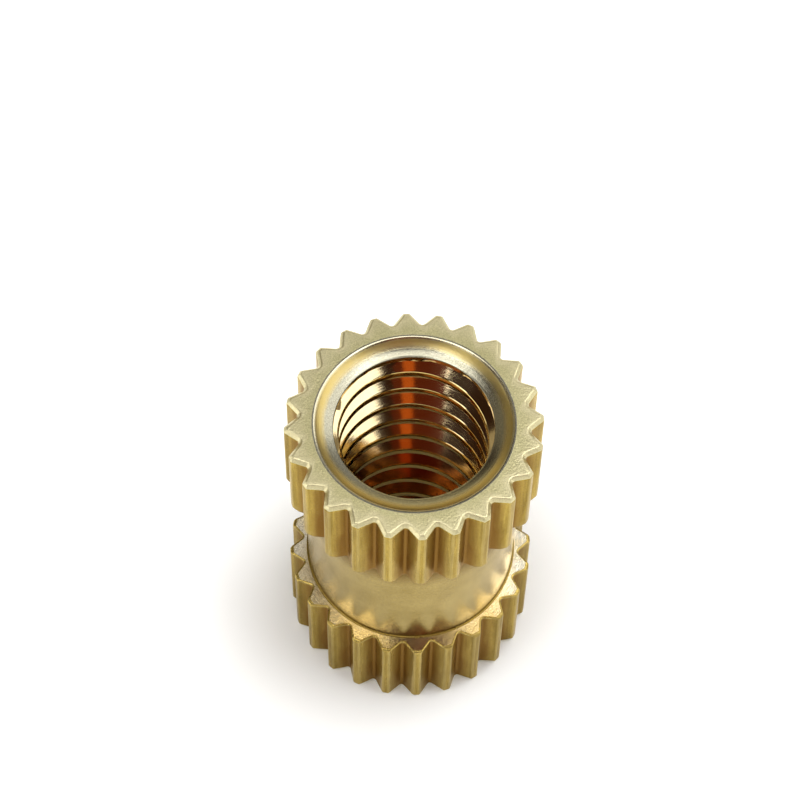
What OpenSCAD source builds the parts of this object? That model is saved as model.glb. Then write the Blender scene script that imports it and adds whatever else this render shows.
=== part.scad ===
// Double-knurled brass threaded insert, M4 x 0.7, moulded or pressed into plastic.
// One turned piece: two straight-knurled bands, a plain waist between them and a
// bore through the middle. The bore is drawn at the thread's minor diameter.
// Origin at the middle of the lower end face, +Z up the bore, millimetres.

/* [Overall] */
// Length from end face to end face
insert_length = 8.2; // [7:0.1:10]
// Diameter over the knurl crests
knurl_dia = 5.6; // [5.4:0.1:6.2]

/* [Bore] */
// Minor diameter of the M4 x 0.7 thread, which the wall of the bore stands for
bore_dia = 3.24; // [3.24:0.02:3.42]
// Diameter of the countersink where it meets an end face
countersink_dia = 4.3; // [3.9:0.05:4.4]
// Included angle of the countersink, in degrees
countersink_angle = 128; // [110:2:134]
// Diameter of the plain lead-in where it meets the countersink
lead_in_dia = 3.48; // [3.46:0.02:3.6]
// Depth below the end face at which the lead-in meets the thread
lead_in_depth = 0.5; // [0.4:0.05:0.6]

/* [Knurled bands] */
// Height of the upper band
upper_band_h = 2.25; // [1.8:0.05:2.6]
// Height of the lower band
lower_band_h = 2.45; // [1.8:0.05:2.8]
// Number of teeth round each band
tooth_count = 24; // [22:1:26]
// Width of the flat that is left on each crest
crest_w = 0.15; // [0.1:0.01:0.2]
// Included angle of the grooves between the teeth, in degrees
groove_angle = 90; // [84:2:96]
// Radius in the bottom of each groove
root_r = 0.07; // [0.05:0.01:0.09]

/* [Waist] */
// Diameter of the plain waist between the bands
waist_dia = 4.75; // [4.6:0.05:4.8]
// Fillet where the waist runs into each band
waist_fillet_r = 0.04; // [0.02:0.01:0.08]

/* [Edges] */
// Bevel round the toothed outline of each end face
end_bevel = 0.08; // [0.04:0.01:0.1]
// Chamfer on the upper band's crests, where the band ends above the waist
upper_shoulder_chamfer = 0.1; // [0.02:0.01:0.12]
// Chamfer on the lower band's crests, where the band ends below the waist
lower_shoulder_chamfer = 0.04; // [0.02:0.01:0.12]

/* [Hidden] */

brass = [0.72, 0.62, 0.38];
round_facets = 96;
root_facets = 24;
// How far a cutter reaches past the surface that it cuts
over = 0.4;
// How far a bevel's cutter runs past the faces that it meets
lap = 0.03;

knurl_r = knurl_dia / 2;
bore_r = bore_dia / 2;
waist_r = waist_dia / 2;
countersink_r = countersink_dia / 2;
lead_in_r = lead_in_dia / 2;
countersink_depth = (countersink_r - lead_in_r) / tan(countersink_angle / 2);
waist_z0 = lower_band_h;
waist_z1 = insert_length - upper_band_h;

// A groove's flanks leave the crests at their edges and would meet at a point, which
// the root radius rounds off. Angles are measured from the middle of the groove.
tooth_angle = 360 / tooth_count;
flank = groove_angle / 2;
mouth_angle = tooth_angle / 2 - asin(crest_w / knurl_dia);
mouth_x = knurl_r * sin(mouth_angle);
mouth_y = knurl_r * cos(mouth_angle);
point_y = mouth_y - mouth_x / tan(flank);
root_centre_y = point_y + root_r / sin(flank);
// Where a flank runs off the root radius
tangent_x = root_r * cos(flank);
tangent_y = root_centre_y - root_r * sin(flank);
// Length of a flank, from the root radius to just past the crest
flank_length = (mouth_x - tangent_x) / sin(flank) + lap;

// Plan of one groove, pointing along +Y
module groove_plan() {
    outer_x = mouth_x + over * tan(flank);
    outer_y = mouth_y + over;
    translate([0, root_centre_y])
        circle(r = root_r, $fn = root_facets);
    polygon([[-tangent_x, tangent_y], [tangent_x, tangent_y], [outer_x, outer_y], [-outer_x, outer_y]]);
}

// Section of a bevel's cutter, with x into the metal from the edge and the end face on y = 0
module bevel_section() {
    polygon([[-lap, -end_bevel - lap], [end_bevel + lap, lap], [-lap, lap]]);
}

// Bevel along one flank's edge. side is -1 for the groove's left flank and 1 for its right.
module flank_bevel(side) {
    mirror([1 - side, 0, 0])
        translate([tangent_x, tangent_y, 0])
            rotate([0, 0, -flank])
                translate([0, flank_length, 0])
                    rotate([90, 0, 0])
                        linear_extrude(height = flank_length)
                            bevel_section();
}

// Bevel round the bottom of the groove, from one flank's to the other's
module root_bevel() {
    translate([0, root_centre_y, 0])
        rotate([0, 0, flank - 180])
            rotate_extrude(angle = 180 - groove_angle, $fn = round_facets)
                translate([root_r, 0])
                    bevel_section();
}

// One groove of a band of height h that hangs below its end face on z = 0
module groove(h) {
    translate([0, 0, -h - over])
        linear_extrude(height = h + 2 * over)
            groove_plan();
    flank_bevel(-1);
    root_bevel();
    flank_bevel(1);
}

// Turned blank of a band: bevelled at its end face on z = 0, chamfered at its shoulder
module band_blank(h, shoulder_chamfer) {
    rotate_extrude($fn = round_facets)
        polygon([
            [0, 0],
            [knurl_r - end_bevel, 0],
            [knurl_r, -end_bevel],
            [knurl_r, shoulder_chamfer - h],
            [knurl_r - shoulder_chamfer, -h],
            [0, -h]
        ]);
}

// Knurled band of height h, hanging below its end face on z = 0
module band(h, shoulder_chamfer) {
    difference() {
        band_blank(h, shoulder_chamfer);
        for (i = [0:tooth_count - 1])
            rotate([0, 0, (i + 0.5) * tooth_angle - 90])
                groove(h);
    }
}

// Ring that fills the corner between the waist and the band face at height z.
// side is 1 where the waist lies above that face and -1 where it lies below.
module waist_fillet(z, side) {
    f = waist_fillet_r;
    translate([0, 0, z])
        rotate_extrude($fn = round_facets)
            difference() {
                translate([waist_r - f, min(0, side * f)])
                    square([2 * f, f]);
                translate([waist_r + f, side * f])
                    circle(r = f, $fn = root_facets);
            }
}

// Plain waist, run a little way into each band
module waist() {
    translate([0, 0, waist_z0 - over])
        cylinder(h = waist_z1 - waist_z0 + 2 * over, r = waist_r, $fn = round_facets);
    waist_fillet(waist_z0, 1);
    waist_fillet(waist_z1, -1);
}

// Bore with a countersink at each end, and a steep lead-in under each countersink
module bore() {
    mouth_r = countersink_r + over * tan(countersink_angle / 2);
    rotate_extrude($fn = round_facets)
        polygon([
            [0, -over],
            [mouth_r, -over],
            [lead_in_r, countersink_depth],
            [bore_r, lead_in_depth],
            [bore_r, insert_length - lead_in_depth],
            [lead_in_r, insert_length - countersink_depth],
            [mouth_r, insert_length + over],
            [0, insert_length + over]
        ]);
}

// The whole insert, turned from one bar
module insert_body() {
    color(brass)
        difference() {
            union() {
                translate([0, 0, insert_length])
                    band(upper_band_h, upper_shoulder_chamfer);
                mirror([0, 0, 1])
                    band(lower_band_h, lower_shoulder_chamfer);
                waist();
            }
            bore();
        }
}

insert_body();
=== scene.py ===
# %% [markdown]
# # A knurled brass threaded insert
#
# The insert is a small bush turned from brass bar. A plastic boss is moulded round it, or it is
# pushed into a boss while hot. Two bands of straight teeth stop it from turning, the plain waist
# between them stops it from pulling out, and the bore takes an M4 screw.
#
# It could be modelled as a cylinder with a bump texture for the teeth and the thread. Here the
# teeth and the thread are real geometry, because at this size they are most of what is seen.
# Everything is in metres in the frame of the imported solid: origin at the middle of the lower end
# face, +Z up the bore.

# %% Load the frame
import math

import bmesh
import bpy
from mathutils import Matrix, Vector


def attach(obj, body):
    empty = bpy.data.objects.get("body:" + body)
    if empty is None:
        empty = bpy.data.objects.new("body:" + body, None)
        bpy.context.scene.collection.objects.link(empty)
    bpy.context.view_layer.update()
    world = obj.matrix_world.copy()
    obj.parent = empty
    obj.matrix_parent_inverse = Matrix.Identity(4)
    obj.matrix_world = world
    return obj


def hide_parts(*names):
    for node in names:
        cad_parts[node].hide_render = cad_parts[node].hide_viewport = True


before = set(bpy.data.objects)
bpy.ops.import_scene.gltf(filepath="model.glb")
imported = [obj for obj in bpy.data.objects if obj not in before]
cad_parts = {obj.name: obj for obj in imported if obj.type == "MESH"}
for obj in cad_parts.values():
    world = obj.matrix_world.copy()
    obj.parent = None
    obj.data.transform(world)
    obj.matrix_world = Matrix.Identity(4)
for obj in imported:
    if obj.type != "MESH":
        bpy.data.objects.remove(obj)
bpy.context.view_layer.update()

# %% [markdown]
# ## Sizes
#
# A turned part is drawn from a few diameters and lengths. They are written once, in millimetres,
# as on a shop drawing, and become metres only where a vertex is made. A learner can change one
# here and see the whole insert follow.

# %% Sizes in millimetres
MM = 0.001
WELD = 0.001             # points closer than this are joined
LENGTH = 8.2
CREST_R = 2.8            # over the teeth
WAIST_R = 2.375
UPPER_BAND = 2.25        # heights of the two bands
LOWER_BAND = 2.45
TEETH = 24
CREST_HALF_WIDTH = 0.075
FLANK = math.radians(45)  # a flank's lean from the middle of its groove
ROOT_R = 0.07
PITCH = 0.7
MINOR_R = 1.62           # over the thread's crests
LIP_R = 1.74             # where a countersink ends in the bore
RIM_R = 2.15             # where it meets the end face
print(f"{TEETH} teeth of {360 / TEETH:.0f} degrees, {LENGTH / PITCH:.1f} turns of thread")

# %% [markdown]
# ## Soft corners
#
# No machined edge is perfectly sharp: tumbling leaves a radius of a few hundredths of a
# millimetre, and that radius is what catches the light as a thin bright line. A Bevel modifier
# could round every edge afterwards, but it needs clean topology. Each profile here is a short list
# of corners instead, and this helper swaps a corner for a few points on a curve.

# %% Helper: round the corners of a profile
def mix_points(a, b, t):
    return tuple(p + (q - p) * t for p, q in zip(a, b))


def soften(corners, steps=3):
    """corners is a list of (point, size); a corner's size is how far its rounding reaches."""
    profile = []
    for i, (point, size) in enumerate(corners):
        if not size or i in (0, len(corners) - 1):
            profile.append(point)
            continue
        before, after = corners[i - 1][0], corners[i + 1][0]
        start = mix_points(point, before, size / math.dist(point, before))
        end = mix_points(point, after, size / math.dist(point, after))
        for k in range(steps + 1):
            t = k / steps
            profile.append(mix_points(mix_points(start, point, t), mix_points(point, end, t), t))
    return profile


print("a square corner becomes", len(soften([((0, 0), 0), ((1, 0), 0.2), ((1, 1), 0)])), "points")

# %% [markdown]
# ## The outline of a tooth
#
# A knurling tool or a broach leaves V grooves of 90 degrees with a small radius in the bottom and
# a narrow flat on each crest. The plan of one groove and half a tooth on each side of it repeats
# round the insert, so only that 15 degree sector is drawn.
#
# The function takes an inset, because a bevel's outline is the tooth's outline moved into the
# metal, and a crest radius, because turning tools chamfer the crests alone. It always returns the
# same number of points, so any two outlines can be joined by a strip of quads.

# %% Plan of one groove
def root_centre():
    """How far from the axis the centre of a groove's root radius lies."""
    half_mouth = math.pi / TEETH - math.asin(CREST_HALF_WIDTH / CREST_R)
    mouth_x, mouth_y = CREST_R * math.sin(half_mouth), CREST_R * math.cos(half_mouth)
    return mouth_y - mouth_x / math.tan(FLANK) + ROOT_R / math.sin(FLANK)


def along_flank_to(centre, offset, radius):
    """How far along a flank that is offset into the metal a circle about the axis crosses it."""
    nx, ny = math.cos(FLANK), -math.sin(FLANK)
    ex, ey = math.sin(FLANK), math.cos(FLANK)
    px, py = nx * offset, centre + ny * offset
    b = px * ex + py * ey
    c = px * px + py * py - radius * radius
    return -b + math.sqrt(b * b - c), (px, py), (ex, ey)


CORNER_R = 0.06          # rounding of the crest's two edges
LEAST_CORNER_R = 0.012
ROOT_STEPS, FLANK_SPLITS, CORNER_STEPS, CREST_STEPS = 4, (0.06, 0.5, 0.94), 3, 2


def half_outline(inset=0.0, crest_r=CREST_R):
    """From the bottom of a groove to the middle of the next crest, as (x across, y outwards)."""
    centre = root_centre()
    r = ROOT_R + inset
    round_r = max(CORNER_R - inset, LEAST_CORNER_R)
    points = []
    for k in range(ROOT_STEPS + 1):
        a = -math.pi / 2 + (math.pi / 2 - FLANK) * k / ROOT_STEPS
        points.append((r * math.cos(a), centre + r * math.sin(a)))
    reach, (qx, qy), (ex, ey) = along_flank_to(centre, r + round_r, crest_r - inset - round_r)
    corner = (qx + ex * reach, qy + ey * reach)
    foot = points[-1]
    top = (corner[0] - math.cos(FLANK) * round_r, corner[1] + math.sin(FLANK) * round_r)
    points += [mix_points(foot, top, t) for t in FLANK_SPLITS]
    start = math.pi - FLANK
    end = math.atan2(corner[1], corner[0])
    for k in range(CORNER_STEPS + 1):
        a = start + (end - start) * k / CORNER_STEPS
        points.append((corner[0] + round_r * math.cos(a), corner[1] + round_r * math.sin(a)))
    from_axis = math.atan2(points[-1][0], points[-1][1])
    for k in range(1, CREST_STEPS + 1):
        a = from_axis + (math.pi / TEETH - from_axis) * k / CREST_STEPS
        points.append(((crest_r - inset) * math.sin(a), (crest_r - inset) * math.cos(a)))
    return points


def tooth_row(inset, crest_r, z):
    right = half_outline(inset, crest_r)
    left = [(-x, y) for x, y in reversed(right[1:])]
    return [(y, x, z) for x, y in left + right]


print(len(tooth_row(0, CREST_R, 0)), "points across a sector; root at",
      round(tooth_row(0, CREST_R, 0)[len(half_outline()) - 1][0], 3), "mm")

# %% [markdown]
# ## Down the outside, row by row
#
# The sector is a stack of rows: plain rings where the part is round and toothed rows where it is
# knurled. It starts at the upper lip of the bore, crosses the countersink and the end face, goes
# down the upper band, in to the waist, out to the lower band and back in to the lower lip.
#
# A flat face between a round row and a toothed row is one many-sided polygon. A narrow flat strip
# on both sides of it keeps its shading level, because a smooth normal is shared only with flat
# neighbours.

# %% Rows of the sector
RING_STEPS = 8           # steps of a round row across a sector
GUARD = 0.015            # width of the flat strip beside a many-sided face
DISH_DEPTH, DISH_BEND = 0.195, 0.38   # the bend is 0 for a plain cone
DISH_STEPS = 8
DISH_LIP, DISH_RIM = 0.018, 0.024     # how far the dish's two edges are rounded
RIM_BAND = 0.05          # ring of end face just outside the countersink
LIP_DROP = 0.215         # from the end face down to where the bore's own mesh starts
END_BEVEL = 0.08
BEVEL_FOOT = END_BEVEL + 0.06         # where the band's plain side begins
INNER_EDGE, OUTER_EDGE = 0.02, 0.035  # how far the bevel's two edges are rounded
UPPER_CHAMFER, UPPER_BURR = 0.1, 0.02
LOWER_CHAMFER, LOWER_BURR = 0.04, 0.03
CHAMFER_EDGE = 0.015
CHAMFER_FOOT = 0.04      # how far the shoulder's rows go on below the chamfer


def ring_row(radius, z):
    angles = [(k / RING_STEPS - 0.5) * 2 * math.pi / TEETH for k in range(RING_STEPS + 1)]
    return [(radius * math.cos(a), radius * math.sin(a), z) for a in angles]


def countersink_profile():
    """(radius, depth) from the lip up to the end face: a shallow dish, steeper at its rim."""
    dish = []
    for k in range(1, DISH_STEPS):
        u = k / DISH_STEPS
        depth = DISH_DEPTH * (1 - (1 - DISH_BEND) * u - DISH_BEND * u ** 3)
        dish.append(((LIP_R + (RIM_R - LIP_R) * u, depth), 0))
    corners = [((LIP_R, LIP_DROP), 0), ((LIP_R, DISH_DEPTH), DISH_LIP)] + dish
    corners += [((RIM_R, 0.0), DISH_RIM), ((RIM_R + RIM_BAND, 0.0), 0)]
    return soften(corners)


def end_profile():
    """(inset, crest radius, depth) from the end face out over its bevel."""
    return soften([((END_BEVEL + INNER_EDGE + GUARD, CREST_R, 0.0), 0),
                   ((END_BEVEL, CREST_R, 0.0), INNER_EDGE),
                   ((0.0, CREST_R, END_BEVEL), OUTER_EDGE),
                   ((0.0, CREST_R, BEVEL_FOOT), 0)], 4)


def shoulder_profile(chamfer, burr):
    """(inset, crest radius, depth) from the shoulder's flat out to the band's side."""
    return soften([((burr + GUARD, CREST_R - chamfer, 0.0), 0),
                   ((0.0, CREST_R - chamfer, 0.0), burr),
                   ((0.0, CREST_R, chamfer), CHAMFER_EDGE),
                   ((0.0, CREST_R, chamfer + CHAMFER_FOOT), 0)])


WAIST_FILLET = 0.03
FILLET_STEPS = 5
WAIST_DROPS = (0.25, 0.5, 0.75, 1.0, 1.6, 2.2, 2.8, 3.15)  # rows down the plain waist
BAND_STEPS = 6
waist_top, waist_foot = LENGTH - UPPER_BAND, LOWER_BAND
SATIN, KNURL, SHOULDER, WAIST, DISH = range(5)
# how brightly each edge is painted, partly as wear and partly as a painted highlight where light
# catches it, from 0 to 1, and how far from the edge that reaches
RIM_WEAR_GLINT, BEVEL_WEAR_GLINT, UPPER_WEAR_GLINT, LOWER_WEAR_GLINT, CREST_WEAR_GLINT = 1.0, 0.3, 0.5, 0.8, 0.7
RIM_REACH, LOWER_REACH = 0.02, 0.05
GROOVE_STAIN_AND_SHADE, LOW_BAND_SHADE = 1.0, 1.3           # stain and painted shade in the grooves, and more painted shade in the lower half of a band
UPPER_SHADE, UPPER_SHADE_H = 1.9, 0.55  # painted shade in a waist corner, and the height that takes 1 off it
LOWER_SHADE, LOWER_SHADE_H = 0.6, 1.2


def share(value):
    """The value, held between 0 and 1."""
    return min(max(value, 0.0), 1.0)


def dish_film(radius):
    """A countersink's film: none at the lip, full from two thirds of the way, none at the rim."""
    across = (radius - LIP_R) / (RIM_R - LIP_R)
    return share(3 * across - 1) * share(10 * (1 - across))


def corner_shade(z):
    """Painted shade in the waist's two corners: strong under the upper band, weak above the lower
    one.
    """
    return max(UPPER_SHADE - (waist_top - z) / UPPER_SHADE_H,
               LOWER_SHADE - (z - waist_foot) / LOWER_SHADE_H, 0.0)


def waist_profile():
    """(radius, height) from the upper shoulder down to the lower one."""
    inner = WAIST_R + WAIST_FILLET + GUARD
    upper = [((inner, waist_top), 0), ((WAIST_R, waist_top), WAIST_FILLET)]
    lower = [((WAIST_R, waist_foot), WAIST_FILLET), ((inner, waist_foot), 0)]
    corners = soften(upper + lower, FILLET_STEPS)
    half = len(corners) // 2
    return corners[:half] + [(WAIST_R, waist_top - drop) for drop in WAIST_DROPS] + corners[half:]


def sector_rows():
    """A list of (points, finish of the strip that follows, wear and painted highlight, stain and
    painted shade), from lip to lip.
    """
    rows = []

    def add(points, finish, wear_and_glint=0.0, groove=0.0):
        rows.append((points, finish, wear_and_glint, groove))

    def end_with(finish):
        points, _, _, groove = rows[-1]
        rows[-1] = (points, finish, 0.0, groove)

    def dish(profile, place):
        for radius, depth in profile:
            rubbed_and_glinting = RIM_WEAR_GLINT if abs(radius - RIM_R) < RIM_REACH else 0.0
            add(ring_row(radius, place(depth)), DISH, rubbed_and_glinting, dish_film(radius))

    def bevel(profile, place):
        for inset, crest, depth in profile:
            rubbed_and_glinting = RIM_WEAR_GLINT if depth < END_BEVEL and inset > 0 else BEVEL_WEAR_GLINT
            finish = SATIN if depth < END_BEVEL else KNURL
            add(tooth_row(inset, crest, place(depth)), finish, rubbed_and_glinting, depth / BEVEL_FOOT)

    def band(top, foot):
        for k in range(1, BAND_STEPS):
            z = top + (foot - top) * k / BAND_STEPS
            # the lower half of a band gets more painted shade
            add(tooth_row(0, CREST_R, z), KNURL, 0.0, LOW_BAND_SHADE if k > BAND_STEPS / 2 else GROOVE_STAIN_AND_SHADE)

    dish(countersink_profile(), lambda depth: LENGTH - depth)
    end_with(SATIN)
    bevel(end_profile(), lambda depth: LENGTH - depth)
    band(LENGTH - BEVEL_FOOT, waist_top + UPPER_CHAMFER + CHAMFER_FOOT)
    for inset, crest, up in reversed(shoulder_profile(UPPER_CHAMFER, UPPER_BURR)):
        add(tooth_row(inset, crest, waist_top + up), KNURL, UPPER_WEAR_GLINT, LOW_BAND_SHADE)
    end_with(SHOULDER)
    for radius, z in waist_profile():
        add(ring_row(radius, z), WAIST, 0.0, corner_shade(z))
    end_with(SHOULDER)
    side_z = LOWER_CHAMFER + CHAMFER_FOOT
    for inset, crest, down in shoulder_profile(LOWER_CHAMFER, LOWER_BURR):
        rubbed_and_glinting = LOWER_WEAR_GLINT if down < LOWER_REACH else 0.0
        add(tooth_row(inset, crest, waist_foot - down), KNURL, rubbed_and_glinting, down / side_z)
    band(waist_foot - side_z, BEVEL_FOOT)
    bevel(reversed(end_profile()), lambda up: up)
    end_with(SATIN)
    dish(reversed(countersink_profile()), lambda up: up)
    return rows


print(len(sector_rows()), "rows from lip to lip")

# %% [markdown]
# ## One sector as a mesh
#
# The rows become one small mesh, and three attributes go with it. finish numbers each face's
# surface: end face, knurled side, shoulder, waist or countersink. A second one marks the points on
# rounded edges, which are painted brighter, partly as wear and partly as painted highlights. groove
# is partly stain and partly painted shade: it grows towards the bottoms of the grooves, in the lower
# half of each band and in the corners of the waist, and a thin film of it lies on the countersinks.
# The effects further down read them. They follow the surface through the instances and into the
# final mesh, which vertex colours painted afterwards would not do as simply.

# %% Build the sector
def groove_depth(point):
    """1 in the bottom of a groove, 0 on the crests."""
    root_r = root_centre() - ROOT_R
    height = (math.hypot(point[0], point[1]) - root_r) / (CREST_R - root_r)
    return share(1 - height)


def sector_mesh():
    rows = sector_rows()
    verts, worn_and_glinting, sunk, starts = [], [], [], []
    for points, _, row_wear_and_glint, row_groove in rows:
        starts.append(len(verts))
        for j, point in enumerate(points):
            verts.append([c * MM for c in point])
            steps_from_crest = min(j, len(points) - 1 - j)
            toothed = len(points) > RING_STEPS + 1
            on_corner = toothed and CREST_STEPS <= steps_from_crest <= CREST_STEPS + CORNER_STEPS
            # crest corners are painted brighter, partly as wear and partly as a painted highlight
            worn_and_glinting.append(max(row_wear_and_glint, CREST_WEAR_GLINT if on_corner else 0.0))
            sunk.append(groove_depth(point) * row_groove)
    faces, finishes = [], []
    for i in range(len(rows) - 1):
        n, m = len(rows[i][0]), len(rows[i + 1][0])
        a, b = starts[i], starts[i + 1]
        if n == m:
            for j in range(n - 1):
                faces.append((a + j, b + j, b + j + 1, a + j + 1))
                finishes.append(rows[i][1])
        else:
            faces.append([a + j for j in reversed(range(n))] + [b + j for j in range(m)])
            finishes.append(rows[i][1])
    mesh = bpy.data.meshes.new("knurl_sector")
    mesh.from_pydata(verts, [], faces)
    mesh.attributes.new("wear_and_glint", "FLOAT", "POINT").data.foreach_set("value", worn_and_glinting)
    mesh.attributes.new("groove", "FLOAT", "POINT").data.foreach_set("value", sunk)
    mesh.attributes.new("finish", "INT", "FACE").data.foreach_set("value", finishes)
    return mesh


sector = sector_mesh()
print("one sector:", len(sector.vertices), "points,", len(sector.polygons), "faces")

# %% [markdown]
# ## Shared effects
#
# A few effects make plain brass look handled. Tumbling leaves a fine grain. Alloy, handling and a
# trace of oxide shift the tone from place to place, and the knurling tool draws it out in streaks
# along the teeth. A lathe tool leaves fine rings on everything that it cuts. Edges are painted
# brighter, partly as wear and partly as painted highlights where light catches them. The grooves
# keep a brown stain that is partly painted shade, with more painted shade in the lower half of each
# band and in the corners of the waist. In the bore the crests are painted a deeper gold, a painted
# reflection of light bounced between the flanks, and the lowest turns carry painted shade in a dark
# red-brown. In the bore the crests are a little yellower than the flanks, and the lowest turns
# carry a dark red-brown film of a kind that isn't known.
#
# Each effect is a shader node group with named inputs, built once and used by the finishes with
# their own numbers. Copying the nodes into each material would work too, but then a change would
# have to be made six times. All of them read Object coordinates or an attribute, so they stay put
# when the view changes.

# %% Helper: small node-tree tools
def new_group(name, inputs, outputs):
    group = bpy.data.node_groups.new(name, "ShaderNodeTree")
    for label, kind, value in inputs:
        socket = group.interface.new_socket(name=label, in_out="INPUT", socket_type=kind)
        socket.default_value = value
    for label, kind in outputs:
        group.interface.new_socket(name=label, in_out="OUTPUT", socket_type=kind)
    return group, group.nodes.new("NodeGroupInput"), group.nodes.new("NodeGroupOutput")


def math_node(tree, operation, a, b=None, c=None, clamp=False):
    """A Math node whose inputs are sockets or numbers. Returns its output socket."""
    node = tree.nodes.new("ShaderNodeMath")
    node.operation = operation
    node.use_clamp = clamp
    for socket, value in zip(node.inputs, (a, b, c)):
        if value is None:
            continue
        if isinstance(value, (int, float)):
            socket.default_value = value
        else:
            tree.links.new(value, socket)
    return node.outputs[0]


def noise_node(tree, vector, scale, detail=3.0, roughness=0.5, dimensions="3D"):
    node = tree.nodes.new("ShaderNodeTexNoise")
    node.noise_dimensions = dimensions
    tree.links.new(vector, node.inputs["W" if dimensions == "1D" else "Vector"])
    for name, value in (("Scale", scale), ("Detail", detail), ("Roughness", roughness)):
        if isinstance(value, (int, float)):
            node.inputs[name].default_value = value
        else:
            tree.links.new(value, node.inputs[name])
    return node.outputs["Fac"]


def ramp_node(tree, value, start, end):
    """A smooth step from 0 at start to 1 at end, which are sockets or numbers."""
    node = tree.nodes.new("ShaderNodeMapRange")
    node.interpolation_type = "SMOOTHSTEP"
    tree.links.new(value, node.inputs["Value"])
    for label, limit in (("From Min", start), ("From Max", end)):
        if isinstance(limit, (int, float)):
            node.inputs[label].default_value = limit
        else:
            tree.links.new(limit, node.inputs[label])
    return node.outputs[0]


def object_place(tree):
    return tree.nodes.new("ShaderNodeTexCoord").outputs["Object"]


def drawn_out(tree, vector, scale):
    """The vector with its Z scaled, so that noise on it is drawn out along the axis."""
    node = tree.nodes.new("ShaderNodeMapping")
    node.inputs["Scale"].default_value = (1, 1, scale)
    tree.links.new(vector, node.inputs["Vector"])
    return node.outputs[0]


def axis_distance(tree, vector):
    """The distance from the axis and the height along it, as two sockets."""
    split = tree.nodes.new("ShaderNodeSeparateXYZ")
    tree.links.new(vector, split.inputs[0])
    squares = math_node(tree, "MULTIPLY", split.outputs["X"], split.outputs["X"])
    squares = math_node(tree, "MULTIPLY_ADD", split.outputs["Y"], split.outputs["Y"], squares)
    return math_node(tree, "SQRT", squares), split.outputs["Z"]


FLOAT, COLOR = "NodeSocketFloat", "NodeSocketColor"
print("node helpers ready")

# %% Effect: fine grain
PIT_SIZE = 0.22          # scale of the pits' noise against the grain's


def make_grain():
    group, inp, out = new_group("fine_grain", [("Scale", FLOAT, 20000.0), ("Pits", FLOAT, 0.3)],
                                [("Height", FLOAT)])
    where = object_place(group)
    sand = noise_node(group, where, inp.outputs["Scale"], 4.0, 0.65)
    pit_scale = math_node(group, "MULTIPLY", inp.outputs["Scale"], PIT_SIZE)
    coarse = noise_node(group, where, pit_scale, 2.0)
    pits = math_node(group, "MULTIPLY", coarse, inp.outputs["Pits"])
    group.links.new(math_node(group, "ADD", sand, pits), out.inputs["Height"])
    return group


grain = make_grain()
print(grain.name, "built")

# %% Effect: tone
SPECKLE_SCALE, STREAK_SCALE = 36000.0, 5000.0  # noise cells to the metre
STREAK_DRAW = 0.06       # scale along the axis, which draws the noise out into streaks


def make_tone():
    group, inp, out = new_group(
        "brass_tone",
        [("Light", COLOR, (0.7, 0.6, 0.3, 1)), ("Dark", COLOR, (0.5, 0.4, 0.2, 1)),
         ("Scale", FLOAT, 900.0), ("Contrast", FLOAT, 1.6), ("Speckle", FLOAT, 0.2),
         ("Streaks", FLOAT, 0.0)],
        [("Color", COLOR), ("Mask", FLOAT)])
    where = object_place(group)
    cloud = noise_node(group, where, inp.outputs["Scale"], 5.0, 0.6)
    fine = noise_node(group, where, SPECKLE_SCALE, 1.0)
    streak = noise_node(group, drawn_out(group, where, STREAK_DRAW), STREAK_SCALE, 3.0, 0.7)
    centred = math_node(group, "SUBTRACT", cloud, 0.5)
    mask = math_node(group, "MULTIPLY_ADD", centred, inp.outputs["Contrast"], 0.5)
    runs = math_node(group, "SUBTRACT", streak, 0.5)
    mask = math_node(group, "MULTIPLY_ADD", runs, inp.outputs["Streaks"], mask, clamp=True)
    mix = group.nodes.new("ShaderNodeMix")
    mix.data_type = "RGBA"
    group.links.new(mask, mix.inputs["Factor"])
    group.links.new(inp.outputs["Light"], mix.inputs["A"])
    group.links.new(inp.outputs["Dark"], mix.inputs["B"])
    grains = math_node(group, "SUBTRACT", fine, 0.5)
    level = math_node(group, "MULTIPLY_ADD", grains, inp.outputs["Speckle"], 1.0)
    speckled = group.nodes.new("ShaderNodeVectorMath")
    speckled.operation = "SCALE"
    group.links.new(mix.outputs["Result"], speckled.inputs[0])
    group.links.new(level, speckled.inputs["Scale"])
    group.links.new(speckled.outputs[0], out.inputs["Color"])
    group.links.new(mask, out.inputs["Mask"])
    return group


tone = make_tone()
print(tone.name, "built")

# %% Effect: turning marks
DRIFT_SCALE = 700.0


def make_turning():
    """Rings that depend on the distance from the axis and the height along it."""
    group, inp, out = new_group(
        "turning_marks", [("Spacing", FLOAT, 0.06 * MM), ("Waver", FLOAT, 0.2)], [("Height", FLOAT)])
    where = object_place(group)
    radius, z = axis_distance(group, where)
    along = math_node(group, "ADD", radius, z)
    turns = math_node(group, "DIVIDE", along, inp.outputs["Spacing"])
    drift = noise_node(group, where, DRIFT_SCALE, 1.0)
    turns = math_node(group, "MULTIPLY_ADD", drift, inp.outputs["Waver"], turns)
    marks = noise_node(group, turns, 1.0, 3.0, 0.7, dimensions="1D")
    group.links.new(marks, out.inputs["Height"])
    return group


turning = make_turning()
print(turning.name, "built")

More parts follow.
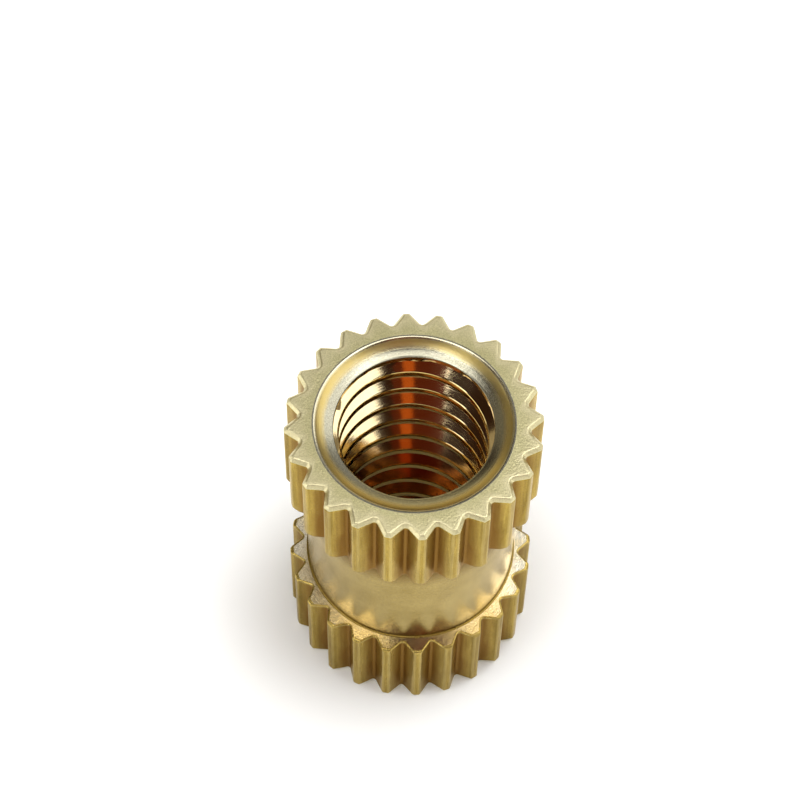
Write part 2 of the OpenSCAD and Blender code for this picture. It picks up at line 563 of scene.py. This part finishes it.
# %% Effects: edge wear with painted highlights, and groove stain with painted shade
def make_mask(name, attribute, breakup, scale, draw):
    """A mask from one of the mesh's attributes, broken up by noise."""
    group, inp, out = new_group(name, [("Amount", FLOAT, 1.0), ("Breakup", FLOAT, breakup)],
                                [("Mask", FLOAT)])
    mark = group.nodes.new("ShaderNodeAttribute")
    mark.attribute_name = attribute
    noise = noise_node(group, drawn_out(group, object_place(group), draw), scale, 3.0)
    broken = math_node(group, "MULTIPLY", noise, inp.outputs["Breakup"])
    kept = math_node(group, "SUBTRACT", mark.outputs["Fac"], broken)
    mask = math_node(group, "MULTIPLY", kept, inp.outputs["Amount"], clamp=True)
    group.links.new(mask, out.inputs["Mask"])
    return group


wear_and_glint = make_mask("edge_wear_and_glint", "wear_and_glint", breakup=0.5, scale=2500.0, draw=1.0)
stain_and_shade = make_mask("groove_stain_and_shade", "groove", breakup=0.4, scale=3500.0, draw=0.15)
print(wear_and_glint.name, "and", stain_and_shade.name, "built")

# %% Effect: painted reflection on the crests and painted shade in the lowest turns of the bore
# The crests' deeper gold is a painted reflection of light bounced between the flanks.
CREST_REACH = 0.03       # how far down a flank the crest's tone goes
DEEP_SHADE_TOP, DEEP_SHADE_FULL = 5.0, 3.0        # heights at which the painted shade starts and is full


def make_bore_reflection_and_shade():
    """The first output is 1 on the thread's crests, for a painted reflection; the second is 1 in the
    lowest turns, for painted shade.
    """
    group, inp, out = new_group(
        "bore_reflection_and_shade",
        [("Crest Radius", FLOAT, MINOR_R * MM), ("Flank Radius", FLOAT, (MINOR_R + CREST_REACH) * MM),
         ("Unshaded Above", FLOAT, DEEP_SHADE_TOP * MM), ("Full Below", FLOAT, DEEP_SHADE_FULL * MM)],
        [("Crest", FLOAT), ("Deep Shade", FLOAT)])
    get = inp.outputs
    radius, z = axis_distance(group, object_place(group))
    crest = ramp_node(group, radius, get["Flank Radius"], get["Crest Radius"])
    film = ramp_node(group, z, get["Unshaded Above"], get["Full Below"])
    group.links.new(crest, out.inputs["Crest"])
    group.links.new(film, out.inputs["Deep Shade"])
    return group


bore_reflection_and_shade = make_bore_reflection_and_shade()
print(bore_reflection_and_shade.name, "built")

# %% [markdown]
# ## Six finishes of one brass
#
# The whole insert is one alloy, but each operation leaves its own surface: the sandy satin of the
# end faces, the knurled sides, the freshly cut shoulders, the plain waist, the smooth countersinks,
# and the thread, which a tap burnishes until it mirrors itself. Their colours also carry painted
# light and shade: the end face and the shoulders are painted paler, as where light falls on them,
# and the knurled sides and the waist darker, as where they mirror the shadowed floor. One helper
# assembles a finish from the shared groups, so the finishes differ only in their numbers. Six
# separate materials built by hand would look the same, but would drift apart as they are tuned.
# Metallic and the other values that are the same all over go on the shader's own sockets.

# %% Helper: assemble a finish
def use_group(tree, group, **values):
    node = tree.nodes.new("ShaderNodeGroup")
    node.node_tree = group
    for name, value in values.items():
        node.inputs[name].default_value = value
    return node


def mix_colors(tree, factor, a, b):
    """a and b are sockets or colours. Returns the mixed colour's socket."""
    mix = tree.nodes.new("ShaderNodeMix")
    mix.data_type = "RGBA"
    tree.links.new(factor, mix.inputs["Factor"])
    for label, value in (("A", a), ("B", b)):
        if isinstance(value, tuple):
            mix.inputs[label].default_value = (*value, 1)
        else:
            tree.links.new(value, mix.inputs[label])
    return mix.outputs["Result"]


def bump_node(tree, height, depth, normal=None):
    bump = tree.nodes.new("ShaderNodeBump")
    bump.inputs["Distance"].default_value = depth * MM
    tree.links.new(height, bump.inputs["Height"])
    if normal:
        tree.links.new(normal, bump.inputs["Normal"])
    return bump.outputs["Normal"]


RUB_POLISH = 0.1         # share of the roughness that rubbing takes off
STAIN_ROUGHNESS = 0.15


def brass_finish(name, light, dark, rough, rough_spread, grain_scale, grain_depth,
                 mark_depth=0.0005, worn_and_glinting=0.5, wear_glint_color=(0.78, 0.7, 0.46),
                 stained_and_shaded=0.0, stain_and_shade_color=None, speckle=0.25, contrast=1.6, streaks=0.0,
                 crest_reflection_color=None, deep_shade_color=None, edge_tint=(1, 1, 1)):
    """Colours are linear and depths are in millimetres. edge_tint is the colour seen edge-on."""
    material = bpy.data.materials.new(name)
    material.use_nodes = True
    tree = material.node_tree
    shader = tree.nodes["Principled BSDF"]
    shader.inputs["Metallic"].default_value = 1.0
    shader.inputs["Specular Tint"].default_value = (*edge_tint, 1)
    patches = use_group(tree, tone, Light=(*light, 1), Dark=(*dark, 1), Speckle=speckle,
                        Contrast=contrast, Streaks=streaks)
    # Rounded edges are painted paler, partly as wear and partly as painted highlights where light
    # catches them.
    rubbed_and_glinting = use_group(tree, wear_and_glint, Amount=worn_and_glinting)
    color = mix_colors(tree, rubbed_and_glinting.outputs["Mask"], patches.outputs["Color"], wear_glint_color)
    uneven = math_node(tree, "MULTIPLY_ADD", patches.outputs["Mask"], rough_spread, rough)
    eased = math_node(tree, "MULTIPLY", rubbed_and_glinting.outputs["Mask"], RUB_POLISH * rough)
    roughness = math_node(tree, "SUBTRACT", uneven, eased, clamp=True)
    # The stain is partly painted shade, in the groove bottoms, the lower half of each band and the
    # waist's corners.
    if stained_and_shaded:
        stain_shade = use_group(tree, stain_and_shade, Amount=stained_and_shaded)
        color = mix_colors(tree, stain_shade.outputs["Mask"], color, stain_and_shade_color)
        roughness = math_node(tree, "MULTIPLY_ADD", stain_shade.outputs["Mask"], STAIN_ROUGHNESS, roughness)
    # Painted shade in the bore's lowest turns, and a painted reflection on its crests.
    if deep_shade_color:
        marks = use_group(tree, bore_reflection_and_shade)
        color = mix_colors(tree, marks.outputs["Deep Shade"], color, deep_shade_color)
        color = mix_colors(tree, marks.outputs["Crest"], color, crest_reflection_color)
    tree.links.new(color, shader.inputs["Base Color"])
    tree.links.new(roughness, shader.inputs["Roughness"])
    sand = use_group(tree, grain, Scale=grain_scale)
    rings = use_group(tree, turning)
    normal = bump_node(tree, sand.outputs["Height"], grain_depth)
    normal = bump_node(tree, rings.outputs["Height"], mark_depth, normal)
    tree.links.new(normal, shader.inputs["Normal"])
    return material


# %% The six finishes
# The end face and shoulder colours are painted paler, as painted light, and the knurled side and
# waist colours darker, as painted shade where they mirror the shadowed floor.
satin_brass = brass_finish("satin_end_face", (0.52, 0.48, 0.265), (0.42, 0.385, 0.20), 0.34, 0.06,
                           20000.0, 0.008, speckle=1.0, contrast=2.2)
knurled_brass = brass_finish("knurled_side", (0.385, 0.27, 0.05), (0.195, 0.125, 0.014), 0.24, 0.08,
                             20000.0, 0.005, stained_and_shaded=1.3, stain_and_shade_color=(0.18, 0.085, 0.007),
                             wear_glint_color=(0.58, 0.47, 0.20), speckle=0.8, contrast=0.8, streaks=3.4,
                             edge_tint=(1.0, 0.93, 0.76))
shoulder_brass = brass_finish("shoulder_face", (0.98, 0.93, 0.78), (0.84, 0.70, 0.40), 0.16, 0.10,
                              9000.0, 0.004, mark_depth=0.001, contrast=3.0, speckle=0.8)
waist_brass = brass_finish("waist_side", (0.38, 0.283, 0.088), (0.28, 0.202, 0.050), 0.18, 0.08,
                           14000.0, 0.005, stained_and_shaded=1.0, stain_and_shade_color=(0.15, 0.085, 0.008),
                           speckle=0.9, contrast=3.0, edge_tint=(1.0, 0.96, 0.88))
dish_brass = brass_finish("countersink_face", (0.36, 0.345, 0.27), (0.29, 0.275, 0.19), 0.18, 0.06,
                          16000.0, 0.0018, mark_depth=0.0015, stained_and_shaded=0.9,
                          stain_and_shade_color=(0.53, 0.39, 0.10), speckle=0.7)
# In the bore, the crests' deeper gold is a painted reflection of light bounced between the flanks,
# and the dark red-brown of the lowest turns is painted shade.
thread_brass = brass_finish("thread_wall", (0.76, 0.63, 0.39), (0.68, 0.53, 0.28), 0.075, 0.04,
                            9000.0, 0.0004, crest_reflection_color=(0.68, 0.49, 0.14),
                            deep_shade_color=(0.28, 0.085, 0.02))
FINISHES = [("End Face", satin_brass), ("Side", knurled_brass), ("Shoulder", shoulder_brass),
            ("Waist", waist_brass), ("Countersink", dish_brass)]
print("finishes:", [m.name for _, m in FINISHES], thread_brass.name)

# %% [markdown]
# ## The knurled outside: a tree that repeats the sector
#
# Twenty-four equal teeth are a repeat, which Geometry Nodes does well: points at the axis, one
# instance of the sector on each, turned by its number times the tooth angle. An Array modifier with
# an object offset would do it too, but the tree shows its count as a named input. Realize Instances
# turns the copies into one mesh, Merge by Distance closes the seams between them, and Set Material
# gives each face the finish that its number asks for.

# %% Helper: build trees and apply them
def new_tree(name, inputs):
    tree = bpy.data.node_groups.new(name, "GeometryNodeTree")
    tree.interface.new_socket(name="Geometry", in_out="INPUT", socket_type="NodeSocketGeometry")
    for label, kind, value in inputs:
        socket = tree.interface.new_socket(name=label, in_out="INPUT", socket_type=kind)
        if value is not None:
            socket.default_value = value
    tree.interface.new_socket(name="Geometry", in_out="OUTPUT", socket_type="NodeSocketGeometry")
    return tree, tree.nodes.new("NodeGroupInput"), tree.nodes.new("NodeGroupOutput")


def link_all(tree, *pairs):
    for source, target in pairs:
        tree.links.new(source, target)


def apply_tree(name, mesh, tree, values):
    """Runs the tree on a mesh and returns its result as a plain mesh."""
    obj = bpy.data.objects.new(name, mesh)
    bpy.context.scene.collection.objects.link(obj)
    modifier = obj.modifiers.new(tree.name, "NODES")
    modifier.node_group = tree
    for item in tree.interface.items_tree:
        if item.in_out == "INPUT" and item.name in values:
            modifier[item.identifier] = values[item.name]
    evaluated = obj.evaluated_get(bpy.context.evaluated_depsgraph_get())
    result = bpy.data.meshes.new_from_object(evaluated)
    bpy.data.objects.remove(obj)
    return result


INT, MATERIAL = "NodeSocketInt", "NodeSocketMaterial"
print("tree helpers ready")

# %% Tree: teeth round the axis
def teeth_tree():
    tree, inp, out = new_tree("teeth_round_axis", [
        ("Teeth", INT, 24), ("Seam", FLOAT, 1e-6), ("End Face", MATERIAL, None),
        ("Side", MATERIAL, None), ("Shoulder", MATERIAL, None), ("Waist", MATERIAL, None),
        ("Countersink", MATERIAL, None)])
    make = tree.nodes.new
    points, instance = make("GeometryNodePoints"), make("GeometryNodeInstanceOnPoints")
    number, spin = make("GeometryNodeInputIndex"), make("ShaderNodeCombineXYZ")
    step = math_node(tree, "DIVIDE", 2 * math.pi, inp.outputs["Teeth"])
    half = math_node(tree, "ADD", number.outputs[0], 0.5)
    merge, realize = make("GeometryNodeMergeByDistance"), make("GeometryNodeRealizeInstances")
    finish = make("GeometryNodeInputNamedAttribute")
    finish.data_type = "INT"
    finish.inputs["Name"].default_value = "finish"
    link_all(tree, (inp.outputs["Teeth"], points.inputs["Count"]),
             (math_node(tree, "MULTIPLY", half, step), spin.inputs["Z"]),
             (points.outputs[0], instance.inputs["Points"]),
             (inp.outputs["Geometry"], instance.inputs["Instance"]),
             (spin.outputs[0], instance.inputs["Rotation"]),
             (instance.outputs[0], realize.inputs[0]), (realize.outputs[0], merge.inputs[0]),
             (inp.outputs["Seam"], merge.inputs["Distance"]))
    shape = merge.outputs[0]
    for code, (label, _) in enumerate(FINISHES):
        same = make("FunctionNodeCompare")
        same.data_type, same.operation = "INT", "EQUAL"
        paint = make("GeometryNodeSetMaterial")
        ints = [s for s in same.inputs if s.type == "INT"]
        ints[1].default_value = code
        link_all(tree, (finish.outputs["Attribute"], ints[0]),
                 (same.outputs[0], paint.inputs["Selection"]), (shape, paint.inputs[0]),
                 (inp.outputs[label], paint.inputs["Material"]))
        shape = paint.outputs[0]
    tree.links.new(shape, out.inputs[0])
    return tree


outside = apply_tree("knurled_outside", sector, teeth_tree(), {
    "Teeth": TEETH, "Seam": WELD * MM, **dict(FINISHES)})
print("outside:", len(outside.vertices), "points,", len(outside.polygons), "faces,",
      [m.name if m else None for m in outside.materials])

# %% [markdown]
# ## The thread: a rule that winds a section round the bore
#
# A tap cuts a V of 60 degrees that climbs one pitch for each turn. The drilled wall stays between
# the turns as a flat crest, a quarter of the pitch high, and the corners are slightly rounded. The
# section of one pitch is a short list of points, and the rule is simple: at a turn of t the section
# is lifted by t pitches. A Screw modifier winds a profile in the same way, but it can't end the
# thread in a clean circle.
#
# The tree starts from a flat grid. Its columns become angles round the axis and its rows become
# points of the section, one pitch after the other. Rows past a countersink's lip are gathered on
# the lip, so the wall ends in a true ring that the countersink's mesh can be joined to. A narrow
# plain band is left under each lip, and below it two slopes limit how deep the groove and how high
# the crest may be, so the thread grows out of the band as it does behind a real countersink.

# %% Section of one pitch
CREST_FLAT = PITCH / 4   # height of the flat that is left on a crest
THREAD_EDGE_R, THREAD_ROOT_R = 0.04, 0.05
FLANK_TILT = math.radians(60)         # a flank's normal above the radial direction
EDGE_STEPS, ROOT_ARC_STEPS, FLANK_GUARDS = 3, 2, (0.06, 0.35, 0.65, 0.94)


def thread_section():
    """(radius, height) through one pitch, from mid-crest to just short of the next mid-crest."""
    reach = THREAD_EDGE_R * math.tan(FLANK_TILT / 2)
    start = CREST_FLAT / 2 - reach
    half = [(MINOR_R, 0.0)]
    for k in range(EDGE_STEPS + 1):
        a = FLANK_TILT * k / EDGE_STEPS
        z = start + THREAD_EDGE_R * math.sin(a)
        half.append((MINOR_R + THREAD_EDGE_R * (1 - math.cos(a)), z))
    foot = half[-1]
    end_z = PITCH / 2 - THREAD_ROOT_R * math.sin(FLANK_TILT)
    end = (foot[0] + (end_z - foot[1]) * math.tan(FLANK_TILT), end_z)
    half += [mix_points(foot, end, t) for t in FLANK_GUARDS]
    bottom = end[0] + THREAD_ROOT_R * (1 - math.cos(FLANK_TILT))
    for k in range(ROOT_ARC_STEPS + 1):
        a = FLANK_TILT * (1 - k / ROOT_ARC_STEPS)
        z = PITCH / 2 - THREAD_ROOT_R * math.sin(a)
        half.append((bottom - THREAD_ROOT_R * (1 - math.cos(a)), z))
    rest = [(r, PITCH - z) for r, z in reversed(half[1:-1])]
    return half + rest


section = bpy.data.meshes.new("thread_section")
section.from_pydata([(r * MM, 0, z * MM) for r, z in thread_section()], [], [])
print(len(section.vertices), "points in one pitch, groove to radius",
      round(max(r for r, _ in thread_section()), 3), "mm")

# %% Tree: wind the section
GROOVE_SLOPE = 2.5       # how steeply the groove deepens below the band, as radius over height


def thread_tree():
    tree, inp, out = new_tree("wound_thread", [
        ("Columns", INT, 192), ("Turns", INT, 14), ("Pitch", FLOAT, 0.0007),
        ("First Crest", FLOAT, 0.0), ("Top", FLOAT, 0.008), ("Bottom", FLOAT, 0.0002),
        ("Lip Radius", FLOAT, 0.00174), ("Band", FLOAT, 0.0002), ("Seam", FLOAT, 1e-6),
        ("Material", MATERIAL, None)])
    get = inp.outputs

    def calc(operation, *values):
        return math_node(tree, operation, *values)

    size = tree.nodes.new("GeometryNodeAttributeDomainSize")
    tree.links.new(get["Geometry"], size.inputs["Geometry"])
    per_pitch = size.outputs["Point Count"]
    last_row = calc("MULTIPLY", per_pitch, get["Turns"])
    grid = tree.nodes.new("GeometryNodeMeshGrid")
    link_all(tree, (get["Columns"], grid.inputs["Size X"]), (last_row, grid.inputs["Size Y"]),
             (calc("ADD", get["Columns"], 1), grid.inputs["Vertices X"]),
             (calc("ADD", last_row, 1), grid.inputs["Vertices Y"]))
    place = tree.nodes.new("ShaderNodeSeparateXYZ")
    tree.links.new(tree.nodes.new("GeometryNodeInputPosition").outputs[0], place.inputs[0])
    column = calc("ADD", place.outputs["X"], calc("MULTIPLY", get["Columns"], 0.5))
    row = calc("ROUND", calc("ADD", place.outputs["Y"], calc("MULTIPLY", last_row, 0.5)))
    turned = calc("DIVIDE", column, get["Columns"])
    whole = calc("FLOOR", calc("DIVIDE", calc("ADD", row, 0.5), per_pitch))
    within = calc("SUBTRACT", row, calc("MULTIPLY", whole, per_pitch))
    pick = tree.nodes.new("GeometryNodeSampleIndex")
    pick.data_type, pick.domain = "FLOAT_VECTOR", "POINT"
    vectors = [s for s in pick.inputs if s.type == "VECTOR"]
    index = tree.nodes.new("FunctionNodeFloatToInt")
    link_all(tree, (get["Geometry"], pick.inputs["Geometry"]), (within, index.inputs[0]),
             (tree.nodes.new("GeometryNodeInputPosition").outputs[0], vectors[0]),
             (index.outputs[0], pick.inputs["Index"]))
    cut = tree.nodes.new("ShaderNodeSeparateXYZ")
    tree.links.new(pick.outputs[0], cut.inputs[0])
    lift = calc("MULTIPLY", calc("ADD", whole, turned), get["Pitch"])
    z = calc("ADD", calc("ADD", cut.outputs["Z"], lift), get["First Crest"])
    # a plain band lies under each lip, and the thread grows out of it
    from_end = calc("MINIMUM", calc("SUBTRACT", get["Top"], z), calc("SUBTRACT", z, get["Bottom"]))
    room = calc("MAXIMUM", calc("SUBTRACT", from_end, get["Band"]), 0.0)
    deepest = calc("MULTIPLY_ADD", room, GROOVE_SLOPE, get["Lip Radius"])
    highest = calc("SUBTRACT", get["Lip Radius"], room)
    r = calc("MAXIMUM", calc("MINIMUM", cut.outputs["X"], deepest), highest)
    z = calc("MAXIMUM", calc("MINIMUM", z, get["Top"]), get["Bottom"])
    angle = calc("MULTIPLY", turned, 2 * math.pi)
    point = tree.nodes.new("ShaderNodeCombineXYZ")
    move = tree.nodes.new("GeometryNodeSetPosition")
    merge = tree.nodes.new("GeometryNodeMergeByDistance")
    flip = tree.nodes.new("GeometryNodeFlipFaces")
    real = tree.nodes.new("GeometryNodeRealizeInstances")
    paint = tree.nodes.new("GeometryNodeSetMaterial")
    link_all(tree, (calc("MULTIPLY", r, calc("COSINE", angle)), point.inputs["X"]),
             (calc("MULTIPLY", r, calc("SINE", angle)), point.inputs["Y"]), (z, point.inputs["Z"]),
             (grid.outputs["Mesh"], move.inputs["Geometry"]),
             (point.outputs[0], move.inputs["Position"]),
             (move.outputs[0], merge.inputs[0]), (get["Seam"], merge.inputs["Distance"]),
             (merge.outputs[0], flip.inputs[0]), (flip.outputs[0], real.inputs[0]),
             (real.outputs[0], paint.inputs[0]), (get["Material"], paint.inputs["Material"]),
             (paint.outputs[0], out.inputs[0]))
    return tree


CREST_BELOW_TOP, CREST_ANGLE = 0.728, 92.5  # a crest passes there, at the back of the bore
CRESTS_BELOW = 12        # whole turns from that crest down to where the grid starts
LIP_BAND = 0.13
TURNS = 14
crest_z = LENGTH - CREST_BELOW_TOP - PITCH * CREST_ANGLE / 360
first_crest = crest_z - CRESTS_BELOW * PITCH
wall = apply_tree("thread_wall", section, thread_tree(), {
    "Columns": TEETH * RING_STEPS, "Turns": TURNS, "Pitch": PITCH * MM,
    "First Crest": first_crest * MM, "Top": (LENGTH - LIP_DROP) * MM, "Bottom": LIP_DROP * MM,
    "Lip Radius": LIP_R * MM, "Band": LIP_BAND * MM, "Seam": WELD * MM, "Material": thread_brass})
print("thread:", len(wall.vertices), "points,", len(wall.polygons), "faces")

# %% [markdown]
# ## Join the two meshes into one solid skin
#
# The insert is one piece of metal, so the outside and the thread become one closed mesh. bmesh joins
# them and welds the two lip rings. Then every face is shaded smooth, and only edges that turn by more
# than 35 degrees stay sharp, which the soft corners keep rare. A count of open edges shows whether
# the skin is closed.

# %% Join and weld
SHARP_ANGLE = math.radians(35)


def join_meshes(name, parts):
    mesh = bpy.data.meshes.new(name)
    skin = bmesh.new()
    for part in parts:
        before = len(skin.faces)
        skin.from_mesh(part)
        skin.faces.ensure_lookup_table()
        for face in skin.faces[before:]:
            material = part.materials[face.material_index]
            if mesh.materials.find(material.name) < 0:
                mesh.materials.append(material)
            face.material_index = mesh.materials.find(material.name)
    bmesh.ops.remove_doubles(skin, verts=skin.verts, dist=WELD * MM)
    open_edges = sum(1 for edge in skin.edges if len(edge.link_faces) != 2)
    triangles = sum(len(face.verts) - 2 for face in skin.faces)
    skin.to_mesh(mesh)
    skin.free()
    print(name, "has", triangles, "triangles and", open_edges, "open edges; finishes",
          [m.name for m in mesh.materials])
    return mesh


body_mesh = join_meshes("insert_skin", [outside, wall])
for polygon in body_mesh.polygons:
    polygon.use_smooth = True
body_mesh.set_sharp_from_angle(angle=SHARP_ANGLE)
insert_skin = bpy.data.objects.new("insert_skin", body_mesh)
bpy.context.scene.collection.objects.link(insert_skin)
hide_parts("insert_body")
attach(insert_skin, "root")

# %% [markdown]
# ## Floor
#
# A part this shiny shows its surroundings more than its own colour, so the floor matters. It is a
# plain pale sheet. Its diffuse part takes the soft shadow, and a little glow that only the camera
# and mirror-like rays see brings the sheet up to white, in the picture and in the metal alike. The
# glow fades out under the part, where it would wash out the contact shadow and light the bore from
# below. Brighter lamps would whiten the sheet too, but they would bleach the brass with it.

# %% Floor
FLOOR_HALF_SIDE = 1.5    # metres
SHEET_COLOR = (0.91, 0.93, 0.94)
GLOW = 0.45
GLOW_FROM, GLOW_FULL = 2.0, 7.0       # distance from the middle


def floor_material():
    material = bpy.data.materials.new("white_sheet")
    material.use_nodes = True
    tree = material.node_tree
    shader = tree.nodes["Principled BSDF"]
    shader.inputs["Base Color"].default_value = (*SHEET_COLOR, 1)
    shader.inputs["Roughness"].default_value = 0.9
    shader.inputs["Specular IOR Level"].default_value = 0.1
    path = tree.nodes.new("ShaderNodeLightPath")
    seen = math_node(tree, "MAXIMUM", path.outputs["Is Camera Ray"], path.outputs["Is Glossy Ray"])
    distance = tree.nodes.new("ShaderNodeVectorMath")
    distance.operation = "LENGTH"
    tree.links.new(object_place(tree), distance.inputs[0])
    away = ramp_node(tree, distance.outputs["Value"], GLOW_FROM * MM, GLOW_FULL * MM)
    glow = math_node(tree, "MULTIPLY", away, GLOW)
    shader.inputs["Emission Color"].default_value = (1, 1, 1, 1)
    tree.links.new(math_node(tree, "MULTIPLY", seen, glow), shader.inputs["Emission Strength"])
    return material


def make_floor(half_side):
    mesh = bpy.data.meshes.new("floor")
    corners = [(-1, -1), (1, -1), (1, 1), (-1, 1)]
    mesh.from_pydata([(x * half_side, y * half_side, 0) for x, y in corners], [], [(0, 1, 2, 3)])
    mesh.materials.append(floor_material())
    floor = bpy.data.objects.new("floor", mesh)
    bpy.context.scene.collection.objects.link(floor)
    return floor


floor = make_floor(FLOOR_HALF_SIDE)
print("floor is", floor.dimensions.x, "m wide")

# %% [markdown]
# ## Light
#
# Polished metal is lit by what stands round it. The light is fifteen soft panels, and each one
# makes one reflection: the large panels at the right fill the flanks at the left of the bore, those
# behind and above light the end face and the countersink, the low ones light the teeth and the
# shoulders, and two small ones at the left draw thin lines along the crests. One big dome would be
# simpler, but the bore would turn into an even grey.
#
# The room overhead is dark, and two dim orange-red panels stand near the camera, as surroundings
# that show in the bore. They put some of its dark red there, and the orange column.

# %% Panels
def panel(name, azimuth, elevation, width, height, radiance, color=(1, 1, 1), distance=0.5):
    """A soft box in metres that faces the part. Its surface has the radiance, where 1 is white."""
    lamp = bpy.data.lights.new(name, "AREA")
    lamp.shape, lamp.size, lamp.size_y = "RECTANGLE", width, height
    lamp.energy = radiance * math.pi * width * height
    lamp.color = color
    obj = bpy.data.objects.new(name, lamp)
    bpy.context.scene.collection.objects.link(obj)
    a, e = math.radians(azimuth), math.radians(elevation)
    way = Vector((math.cos(a) * math.cos(e), math.sin(a) * math.cos(e), math.sin(e)))
    obj.location = way * distance
    obj.rotation_euler = (-way).to_track_quat("-Z", "Y").to_euler()
    return obj


panel("right_panel", 12, 46, 0.50, 0.38, 2.1)
panel("right_top_panel", 15, 71, 0.42, 0.10, 1.8)
panel("right_back_panel", 62, 48, 0.20, 0.34, 0.42)
panel("top_panel", 90, 87, 0.40, 0.22, 3.0)
panel("back_panel", 91, 70, 0.26, 0.18, 0.42)
panel("back_left_panel", 139, 43, 0.24, 0.26, 0.30, color=(1.0, 0.9, 0.6))
panel("back_low_panel", 90, 18, 0.60, 0.20, 0.7, color=(1.0, 0.84, 0.48))
panel("front_panel", -90, 24, 0.50, 0.32, 1.25)
panel("left_low_panel", -165, 17, 0.50, 0.22, 2.4)
panel("right_low_panel", -25, 12, 0.46, 0.14, 1.6)
panel("left_top_panel", -150, 67, 0.20, 0.09, 5.0)
panel("left_front_panel", -144, 45, 0.16, 0.07, 3.4)
panel("right_front_panel", -36, 34, 0.14, 0.10, 3.0)
panel("warm_wide_panel", -88, 60, 0.34, 0.18, 0.08, color=(1.0, 0.10, 0.02))
panel("warm_panel", -72, 60, 0.055, 0.12, 0.45, color=(1.0, 0.21, 0.02), distance=0.4)

# %% Room
HORIZON_COLOR, OVERHEAD_COLOR = (0.30, 0.26, 0.18), (0.030, 0.012, 0.005)
FADE_FROM, FADE_TO = 0.3, 0.65        # sine of the elevation


def make_room():
    """A grey-brown band round the horizon that fades into a dim red-brown room overhead."""
    world = bpy.data.worlds.new("room")
    world.use_nodes = True
    tree = world.node_tree
    split = tree.nodes.new("ShaderNodeSeparateXYZ")
    tree.links.new(tree.nodes.new("ShaderNodeTexCoord").outputs["Generated"], split.inputs[0])
    background = tree.nodes["Background"]
    overhead = ramp_node(tree, split.outputs["Z"], FADE_FROM, FADE_TO)
    color = mix_colors(tree, overhead, HORIZON_COLOR, OVERHEAD_COLOR)
    tree.links.new(color, background.inputs["Color"])
    background.inputs["Strength"].default_value = 1.0
    return world


bpy.context.scene.world = make_room()
print("world:", bpy.context.scene.world.name)

# %% [markdown]
# ## Camera
#
# The camera looks down steeply from the front, through a long lens, so the end face is a broad
# ellipse and the sides are short. Its place is given in millimetres and its turn by three angles,
# which is easier to tune than a matrix.

# %% Camera
def place_camera(place_mm, heading, dip, roll, lens):
    camera = bpy.data.cameras.new("camera")
    camera.lens, camera.sensor_width = lens, 36
    camera.clip_start, camera.clip_end = 0.002, 20
    obj = bpy.data.objects.new("camera", camera)
    bpy.context.scene.collection.objects.link(obj)
    h, d = math.radians(heading), math.radians(dip)
    forward = Vector((math.sin(h) * math.cos(d), math.cos(h) * math.cos(d), -math.sin(d)))
    right = Vector((math.cos(h), -math.sin(h), 0))
    up = right.cross(forward)
    turn = Matrix((right, up, -forward)).transposed().to_4x4()
    obj.matrix_world = (Matrix.Translation(Vector(place_mm) * MM) @ turn
                        @ Matrix.Rotation(math.radians(roll), 4, "Z"))
    return obj


camera = place_camera(place_mm=(-2.435, -26.986, 55.871), heading=4.49, dip=59.90, roll=1.25,
                      lens=115.3)
bpy.context.scene.camera = camera
bpy.context.scene.view_settings.view_transform = "Standard"
print("camera at", [round(c, 4) for c in camera.location])
